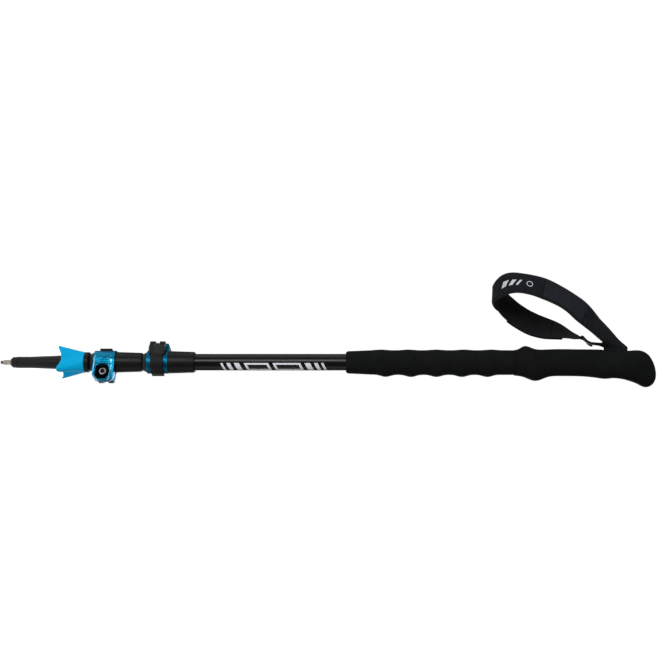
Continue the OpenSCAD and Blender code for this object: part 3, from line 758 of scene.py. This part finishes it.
def add_ferrule():
    """Ferrule: a tapering sleeve with a nose ring, a ridge, a threaded seat for the basket and its flange.

    The thread is a helix: the seat's radius falls by a rounded wave whose phase is
    height over pitch plus the angle's share of a turn.
    """
    seat = 6.15
    seat_z = nose_z + 7.7
    neck_z = flange_z - 15
    thread_r = lower_r + 1.4
    pitch = 3.0
    socket = flange_top - 27
    corners = [
        (2.0, nose_z, 0), (4.3, nose_z, 0.3), (seat - 0.35, nose_z + 1.6, 0.5), (seat - 0.35, seat_z - 2.4, 0.15),
        (seat, seat_z - 2.1, 0.2), (seat, seat_z - 0.8, 0.2), (seat - 0.3, seat_z - 0.6, 0.08),
        (seat - 0.3, seat_z - 0.2, 0.08), (seat, seat_z, 0.2), (seat, seat_z + 12, 3.0),
        (lower_r + 0.05, neck_z - 20, 3.0), (lower_r + 0.8, neck_z - 7, 2.0), (lower_r + 0.8, neck_z - 1, 0.3),
        (thread_r, neck_z, 0.3), (thread_r, flange_z, 0), (flange_r, flange_z, 0.35),
        (flange_r, flange_top - 1.4, 0.5), (flange_r - 1.4, flange_top, 0.5), (lower_r, flange_top, 0.15),
        (lower_r, socket, 0.1), (2.0, socket, 0)]
    profile = rounded(corners, 0.4, 5)

    def thread_cut(r, z, a):
        on_seat = smooth_step(z, neck_z + 0.6, neck_z + 2) * (1 - smooth_step(z, flange_z - 1.6, flange_z - 0.4))
        outside = r > lower_r + 0.9
        wave = 0.5 + 0.5 * np.cos(TAU * z / pitch + a)
        return r - 0.55 * on_seat * outside * smooth_step(wave, 0.35, 0.85), z

    points = turned(profile, 120, thread_cut)
    add_surface("ferrule_sleeve", points, ferrule_plastic, "lower_section", ["ferrule"], ring=True)


def add_basket():
    """Crown-shaped basket: four lobes that flare out from the neck, with folds between them.

    A lobe's share of the outward flare is a raised cosine of four times the angle, and
    the flare grows evenly from the neck to the rim. The rim rises from each lobe's flat
    end to the fold with one minus the share cubed.
    """
    first_lobe = math.radians(-69)
    neck, rim = flange_r + 0.1, 19.0
    wall, bore_r = 1.5, lower_r + 1.45
    hub_r = bore_r + 1.6
    hub_low = flange_z - 14.5
    pocket_z = hub_low + 8
    height = flange_z - rim_z
    a = np.linspace(0, TAU, 288, endpoint=False)[None, :]
    share = 0.5 + 0.5 * np.cos(4 * (a - first_lobe))
    edge_z = rim_z + 3.5 * (1 - share ** 3)

    def outside(z):
        return neck + (rim - neck) * share * (flange_z - z) / height

    def inside(z):
        flared = neck - wall + (rim - neck) * share * (pocket_z - z) / (pocket_z - rim_z)
        return np.maximum(flared, hub_r + 0.02)

    t = np.linspace(0, 1, 40)[:, None]
    lip_z = edge_z + 0.45
    outer_z = flange_z - 0.3 + t * (lip_z - flange_z + 0.3)
    inner_z = lip_z + t * (pocket_z - lip_z)
    s = np.linspace(0, math.pi, 11)[1:-1, None]
    outer_lip, inner_lip = outside(lip_z), inside(lip_z)
    round_r = (outer_lip + inner_lip) / 2 + (outer_lip - inner_lip) / 2 * np.cos(s)
    round_z = lip_z - 0.45 * np.sqrt(np.sin(s))
    hub = np.array([
        (hub_r, pocket_z - 0.1), (hub_r, pocket_z - 4), (hub_r, hub_low + 0.4), (hub_r - 0.3, hub_low),
        (bore_r + 0.3, hub_low), (bore_r, hub_low + 0.3), (bore_r, hub_low + 4), (bore_r, flange_z - 4),
        (bore_r, flange_z - 0.2), (bore_r + 0.2, flange_z - 0.02), (neck - 0.35, flange_z - 0.02)])
    rows_r = np.vstack([outside(outer_z), round_r, inside(inner_z), hub[:, :1] + 0 * a])
    rows_z = np.vstack([outer_z, round_z, inner_z, hub[:, 1:] + 0 * a])
    points = np.stack([rows_r * np.cos(a), rows_r * np.sin(a), rows_z], -1)
    add_surface("lobed_basket", points, basket_plastic, "basket", ["basket"], ring=True)


add_tip_point()
add_holder()
add_ferrule()
add_basket()


# ---------- clamps ----------

def add_clamps():
    """Both clamps: the same pieces, on the middle section and on the upper section."""
    for side, body in enumerate(("middle_section", "upper_section")):
        label = CLAMPS[side]
        softened(f"{label}_clamp_body", 0.45, anodised[side], body)
        softened(f"{label}_clamp_lever", 0.5, lever_plastic, f"{label}_lever")
        softened(f"{label}_clamp_bolt", 0.22, bolt_steel[side], f"{label}_bolt")
        softened(f"{label}_clamp_barrel", 0.35, steel, body)
        softened(f"{label}_clamp_pad", 0.15, pad_plastic, body)
        softened(f"{label}_clamp_sleeve", 0.45, clamp_plastic, body)


add_clamps()


# ---------- foam ----------

def add_extension():
    """Foam extension: a slightly swelling tube with finger ridges.

    The radius rises over the first stretch. Each ridge is a narrowed raised cosine,
    higher towards +X, and the ridges sit closer together on that side.
    """
    length = seam_z - foam_z
    ridges = 5
    sides = 144
    edge = np.array([0, 0.15, 0.4, 0.8, 1.3, 1.9, 2.6])
    h = np.concatenate([edge, np.arange(3.6, length - 1, 0.8), length - np.array([0.9, 0.5, 0.22, 0.06])])[:, None]
    a = np.linspace(0, TAU, sides, endpoint=False)[None, :]
    finger = 0.5 + 0.5 * np.cos(a)
    pitch = (length - 37.5) / ridges - 1.2 * np.cos(a)
    turns = (h - 39.8 - 2.6 * np.cos(a)) / pitch
    ridged = (turns > -0.5) & (turns < ridges - 0.5)
    wave = np.where(ridged, 0.5 + 0.5 * np.cos(TAU * turns), 0) ** 1.45
    r = upper_r + 2.9 + 1.1 * np.minimum(1, h / 28)
    r = r - 1.8 * np.clip(1 - h / 2.4, 0, None) ** 2
    r = r + wave * (0.7 + 1.5 * finger) + 0.5 * finger * np.minimum(1, h / 60)
    r = r - 0.9 * np.clip(1 - (length - h) / 0.9, 0, None) ** 2
    z = foam_z + h + 0 * a
    bore = np.full((2, sides), upper_r + 0.02)
    ends = np.array([[foam_z + length - 0.02], [foam_z]]) + 0 * a
    r, z = np.vstack([r, bore]), np.vstack([z, ends])
    points = np.stack([r * np.cos(a), r * np.sin(a), z], -1)
    add_surface("foam_extension", points, foam, "upper_section", ["grip_extension"], ring=True)


# Sections of the grip: height over the seam, and how far the foam stands out
# from the tube's radius at the back, at the nose and at each side
GRIP_SECTIONS = [
    (0, 4.2, 5.2, 4.2), (22, 4.3, 5.6, 4.1), (46, 5.2, 5.7, 4), (70, 5, 6, 4.2), (85, 4.9, 7.2, 4.8),
    (97, 4.6, 8.7, 5.3), (107, 4.3, 8, 5.3), (116, 3.9, 9, 5.5), (124, 3.6, 11.1, 5.9), (131, 4, 13.6, 6.2),
    (136, 3.6, 16.2, 6.1), (140, 2, 17.6, 5.4), (144, -1.2, 17.1, 3.9), (148, -7.6, 14.6, 0.4),
    (150.6, -15, 10.4, -4.2), (151.5, -19.4, 6.6, -7.4)]


def add_grip():
    """Foam grip: oval sections through the table above, with a slanting collar that swells out of them.

    A slot is pushed into the back for the strap, and a shallow panel with a rounded
    edge is pressed into the near side.
    """
    sides = 224
    u = np.linspace(0, len(GRIP_SECTIONS) - 1, 1200)
    table = catmull(GRIP_SECTIONS, u)
    path = np.concatenate([[0], np.cumsum(np.linalg.norm(np.diff(table[:, :3], axis=0), axis=1))])
    u = np.interp(np.linspace(0, path[-1], 240), path, u)
    h, back, nose, half = (column[:, None] for column in catmull(GRIP_SECTIONS, u).T)
    a = np.linspace(0, TAU, sides, endpoint=False)[None, :]
    middle = 17.5 + 5.4 * np.cos(a)
    spread = np.where(h < middle, 8.4 + 2.6 * np.cos(a), 10 + np.cos(a))
    collar = (4.8 + 0.5 * np.cos(a)) * np.exp(-((h - middle) / spread) ** 2) * (h < 60)
    swell = upper_r + collar
    rx, ry = (nose + back) / 2 + swell, half + swell
    x = (nose - back) / 2 + rx * np.cos(a)
    y = ry * np.sin(a)
    z = seam_z + h + 0 * a
    chamfer = 0.9 * np.clip(1 - h / 0.9, 0, None) ** 2
    x, y = x - chamfer * np.cos(a), y - chamfer * np.sin(a)
    slot_low, slot_high = head_z - 56, head_z - 29
    in_slot = (smooth_step(z, slot_low - 0.4, slot_low + 0.8) * (1 - smooth_step(z, slot_high - 0.8, slot_high + 0.4))
               * (1 - smooth_step(np.abs(y), 2.3, 3.3)) * (x < 0))
    x = x + 4.6 * in_slot
    panel_z, panel_x = seam_z + 65.5, -6.6
    reach = np.maximum(np.abs(z - panel_z) - 6.6, 0) ** 2 + np.maximum(np.abs(x - panel_x) - 1.4, 0) ** 2
    pressed = (1 - smooth_step(np.sqrt(reach), 1.3, 2.1)) * (y < 0)
    y = y + 0.35 * pressed
    points = np.stack([x, y, z], -1)
    add_surface("foam_grip", points, foam, "upper_section", ["grip"])


add_extension()
add_grip()


# ---------- strap ----------

# Middle line of the loop, out of the slot and back, from the slot's middle, and
# the direction of the webbing's width at each of its points
STRAP_ROUTE = [
    (0, -1.3, 0.6), (-5.7, -3.1, -5.7), (-13, -5.2, -12.1), (-21.1, -10, -21.8), (-30.1, -14, -31.9),
    (-38.5, -18, -42.3), (-46.5, -21, -53), (-53.9, -23, -65.3), (-61, -25, -81), (-65.1, -25.5, -94),
    (-67.5, -24.5, -107.4), (-67.4, -20.5, -117.1), (-64.8, -14.5, -123.3), (-60.3, -7, -128.7),
    (-56.6, 0, -130.7), (-54, 7, -128), (-51.7, 12.5, -123.4), (-48.9, 17, -118), (-43.1, 20, -111.5),
    (-36.9, 22.5, -103.9), (-30.4, 24, -93.8), (-25.1, 25, -83.3), (-21.5, 25, -72.1), (-18.9, 24, -60.9),
    (-15.5, 21.5, -50.3), (-11.8, 18.5, -40.6), (-8.5, 14, -30.6), (-3.9, 7.8, -24.1), (-4, 10.2, -14.5),
    (-1.5, 3.4, -5), (0, 1.3, -0.6)]
STRAP_ACROSS = [
    (0, 0, 1), (0.03, 0.45, 0.89), (-0.19, 0.68, 0.71), (-0.33, 0.68, 0.66), (-0.51, 0.55, 0.66),
    (-0.66, 0.42, 0.63), (-0.68, 0.49, 0.55), (-0.75, 0.49, 0.44), (-0.86, 0.42, 0.31), (-0.86, 0.48, 0.19),
    (-0.86, 0.52, 0.02), (-0.86, 0.51, -0.1), (-0.81, 0.56, -0.15), (-0.74, 0.67, -0.03),
    (-0.74, 0.65, 0.13), (-0.82, 0.52, 0.22), (-0.85, 0.41, 0.34), (-0.83, 0.37, 0.41), (-0.89, 0.25, 0.39),
    (-0.9, 0.22, 0.37), (-0.94, 0.2, 0.29), (-0.96, 0.2, 0.22), (-0.91, 0.38, 0.15), (-0.78, 0.63, 0.02),
    (-0.56, 0.83, -0.04), (-0.31, 0.95, -0.04), (-0.04, 1, 0), (0.03, 1, 0.07), (-0.05, 0.75, -0.66),
    (-0.1, 0.25, -0.96), (0, 0, -1)]
STRAP_W = 25.0
SLOT_DEPTH = 5.5
Stations = namedtuple("Stations", "s place along across out width")


def strap_frames(count):
    """Evenly spaced stations of the strap: distance, place, direction, width direction, outward direction, width.

    The route is the curve through STRAP_ROUTE with a short straight run into the slot
    at each end. The width direction is made square to the route away from the ends.
    """
    last = len(STRAP_ROUTE) - 1
    u = np.linspace(0, last, 4000)
    line = catmull(STRAP_ROUTE, u) + strap_start
    step = np.linalg.norm(np.diff(line, axis=0), axis=1)
    distance = np.concatenate([[0], np.cumsum(step)])
    s = np.linspace(0, distance[-1], count)
    u = np.interp(s, distance, u)
    place = catmull(STRAP_ROUTE, u) + strap_start
    ahead = catmull(STRAP_ROUTE, np.clip(u + 0.05, 0, last))
    behind = catmull(STRAP_ROUTE, np.clip(u - 0.05, 0, last))
    along = unit(ahead - behind)
    free = np.minimum(1, np.minimum(u / 3, (last - u) / 3))[:, None]
    rough = catmull(STRAP_ACROSS, u)
    across = unit(rough - free * np.sum(rough * along, -1, keepdims=True) * along)
    out = unit(np.cross(along, across))
    width = STRAP_W * (0.95 + 0.05 * free[:, 0])
    inward = np.array([1.0, 0, 0])
    extra = np.linspace(SLOT_DEPTH, 0.7, 7)
    before = place[0] + inward * extra[:, None]
    after = place[-1] + inward * extra[::-1, None]
    s = np.concatenate([-extra, s, s[-1] + extra[::-1]])
    place = np.vstack([before, place, after])
    repeat = [0] * 7 + list(range(count)) + [count - 1] * 7
    return Stations(s, place, along[repeat], across[repeat], out[repeat], width[repeat])


def band_points(frames, lift, thickness, share, columns=25):
    """Cross sections of a flat band with rounded edges, lifted off the strap's middle line.

    The section is an outline of two flat sides joined by half circles, thickness
    across, with a low crown so that the middle stands proud of the edges.
    """
    half = frames.width[:, None] * share / 2
    flat = np.linspace(-1, 1, columns)[None, :]
    turn = np.linspace(0, math.pi, 7)[1:-1][None, :]
    radius = thickness / 2
    top = np.concatenate([flat * (half - radius), (half - radius) + radius * np.sin(turn),
                          -flat * (half - radius), -(half - radius) - radius * np.sin(turn)], 1)
    rise_top = radius * (1 + 0.12 * (1 - flat ** 2)) + 0 * half
    rise_edge = radius * np.cos(turn) + 0 * half
    rise = np.concatenate([rise_top, rise_edge, -rise_top, -rise_edge], 1) + lift
    return (frames.place[:, None] + top[..., None] * frames.across[:, None]
            + rise[..., None] * frames.out[:, None])


def add_band(name, frames, lift, thickness, share, material):
    """One layer of the strap as a closed band, with a UV map that holds metres along and across."""
    points = band_points(frames, lift, thickness, share)
    piece = add_surface(name, points, material, None)
    rows, columns = points.shape[:2]
    offset = np.einsum("rck,rk->rc", points - frames.place[:, None], frames.across)
    uv = np.stack([np.repeat(frames.s[:, None], columns, 1), offset], -1).reshape(-1, 2) * MM
    layer = piece.data.uv_layers.new(name="UVMap")
    corner = np.empty(len(piece.data.loops), int)
    piece.data.loops.foreach_get("vertex_index", corner)
    layer.data.foreach_set("uv", uv[corner].ravel())
    return piece


def sub_frames(frames, start, end):
    """The stations between two distances along the strap."""
    keep = (frames.s >= start) & (frames.s <= end)
    return Stations(*(f[keep] for f in frames))


def add_stitches(name, frames, rows, lift, spacing=2.6, length=1.9, radius=0.17):
    """Rows of running stitches: each is a small six-sided spindle laid along the strap."""
    s, place, along, across, out, width = frames
    centres = np.arange(s[0] + 3, s[-1] - 3, spacing)

    def sample(values):
        return np.stack([np.interp(centres, s, values[:, k]) for k in range(values.shape[1])], -1)

    p, t, w, o = sample(place), unit(sample(along)), unit(sample(across)), unit(sample(out))
    wide = np.interp(centres, s, width)
    v = np.linspace(-1, 1, 5)
    spin = np.linspace(0, TAU, 6, endpoint=False)
    girth = np.sqrt(np.clip(1 - (0.96 * v) ** 2, 0, 1))
    body = np.stack([np.repeat(v * length / 2, 6), np.outer(girth, np.cos(spin)).ravel() * radius,
                     np.outer(girth, np.sin(spin)).ravel() * radius], -1)
    verts = []
    for share, side in rows:
        base = p + w * (wide * share / 2)[:, None] + o * (lift * side)
        verts.append(base[:, None] + body[None, :, :1] * t[:, None] + body[None, :, 1:2] * w[:, None]
                     + body[None, :, 2:] * o[:, None])
    verts = np.concatenate(verts).reshape(-1, 3)
    single = facing_out(body, grid_quads(5, 6, False))
    count = len(verts) // len(body)
    quads = (single[None] + len(body) * np.arange(count)[:, None, None]).reshape(-1, 4)
    ends = []
    flipped = single[0][1] != 1
    first, last = np.arange(6), 24 + np.arange(6)
    for ring, keep in ((first, flipped), (last, not flipped)):
        loop = ring if keep else ring[::-1]
        ends.append(loop[None] + len(body) * np.arange(count)[:, None])
    faces = quads.tolist() + np.concatenate(ends).tolist()
    return add_piece(name, verts, faces, thread, None)


def add_strap():
    """Wrist strap: a soft lining band, the narrower webbing sewn on its outside, and the stitching."""
    frames = strap_frames(330)
    total = frames.s[-1]
    lining_cloth = webbing_material("lining cloth", rgb(19, 20, 22), rgb(28, 28, 31), 0.6, 0.05, 0.0,
                                    seams=(46, total - 79))
    strap_webbing = webbing_material("strap webbing", rgb(9, 10, 13), rgb(24, 26, 32), 1.3, 0.12, 1.0,
                                     seams=(54, 108), label=True)
    lining = add_band("strap_lining", frames, lift=0.0, thickness=1.3, share=1.0, material=lining_cloth)
    web = sub_frames(frames, -SLOT_DEPTH, total - 0.5)
    webbing = add_band("strap_webbing", web, lift=-0.95, thickness=0.7, share=0.8, material=strap_webbing)
    sewn = sub_frames(frames, 6, total - 12)
    stitches = add_stitches("strap_stitching", sewn, ((0.72, -1), (-0.72, -1)), lift=1.34)
    doubled = sub_frames(frames, total - 126, total - 64)
    tail = add_band("strap_tail", doubled, lift=-1.66, thickness=0.7, share=1.05, material=strap_webbing)
    for piece in (lining, webbing, tail, stitches):
        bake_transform(piece)
    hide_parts("strap_loop", "strap_ends")


add_strap()


# ---------- carried-over CAD nodes ----------

def dress(node, material):
    """Gives a CAD node its material."""
    data = frame["nodes"][node].data
    data.materials.clear()
    data.materials.append(material)


for node_name, finish in {
    "upper_tube": upper_lacquer, "middle_tube": middle_lacquer, "lower_tube": lower_lacquer,
    "middle_guide": guide_plastic, "lower_guide": guide_plastic, "grip_core": core_plastic,
    "strap_wedge": core_plastic, "strap_pin": steel,
}.items():
    dress(node_name, finish)


# ---------- studio ----------

def add_floor():
    """Small round white table under the carbide point, lit through from below so that it stays pale."""
    material, tree, shader = new_material("pale floor", Roughness=0.9, Specular_IOR_Level=0.05,
                                          Emission_Color=(1.0, 1.0, 1.0, 1.0), Emission_Strength=0.75)
    drift = use_group(tree, mottle, tone_a=(0.86, 0.86, 0.86, 1.0), tone_b=(0.9, 0.9, 0.9, 1.0), scale=4.0)
    link(tree, drift.outputs["Color"], shader, "Base Color")
    a = np.linspace(0, TAU, 128, endpoint=False)
    rim = np.stack([0.26 * np.cos(a), 0.26 * np.sin(a), np.full_like(a, -0.0012)], -1)
    mesh = bpy.data.meshes.new("floor")
    mesh.from_pydata(rim.tolist(), [], [list(range(len(a)))])
    mesh.materials.append(material)
    floor = bpy.data.objects.new("floor", mesh)
    bpy.context.scene.collection.objects.link(floor)


def add_light(name, place, size, power):
    """Soft rectangular light at place, aimed at the pole's middle."""
    data = bpy.data.lights.new(name, "AREA")
    data.shape = "RECTANGLE"
    data.size, data.size_y = size
    data.energy = power
    lamp = bpy.data.objects.new(name, data)
    lamp.visible_camera = False
    bpy.context.scene.collection.objects.link(lamp)
    aim = (Vector(POLE_MIDDLE) - Vector(place)).to_track_quat("-Z", "Y")
    lamp.matrix_world = Matrix.Translation(place) @ aim.to_matrix().to_4x4()


def add_world():
    """White backdrop to the camera, and a dim even fill to everything else."""
    world = bpy.data.worlds.new("studio")
    world.use_nodes = True
    tree = world.node_tree
    background = tree.nodes["Background"]
    seen = shader_node(tree, "LightPath").outputs["Is Camera Ray"]
    tree.links.new(blend_colours(tree, seen, (0.15, 0.15, 0.15, 1.0), (1.0, 1.0, 1.0, 1.0)),
                   background.inputs["Color"])
    bpy.context.scene.world = world


add_floor()
add_world()
POLE_MIDDLE = (0.0, 0.0, 0.35)
for light_name, light_place, light_size, light_power in (
        ("front strip", (-0.57, -1.06, 0.35), (0.42, 2.6), 17),
        ("overhead softbox", (-1.25, 0.1, 0.35), (1.1, 2.0), 6),
        ("under softbox", (1.2, -0.35, 0.35), (0.8, 2.0), 3),
        ("back softbox", (0.5, 1.4, 0.5), (1.0, 1.6), 14)):
    add_light(light_name, light_place, light_size, light_power)
bpy.context.scene.view_settings.view_transform = "Standard"
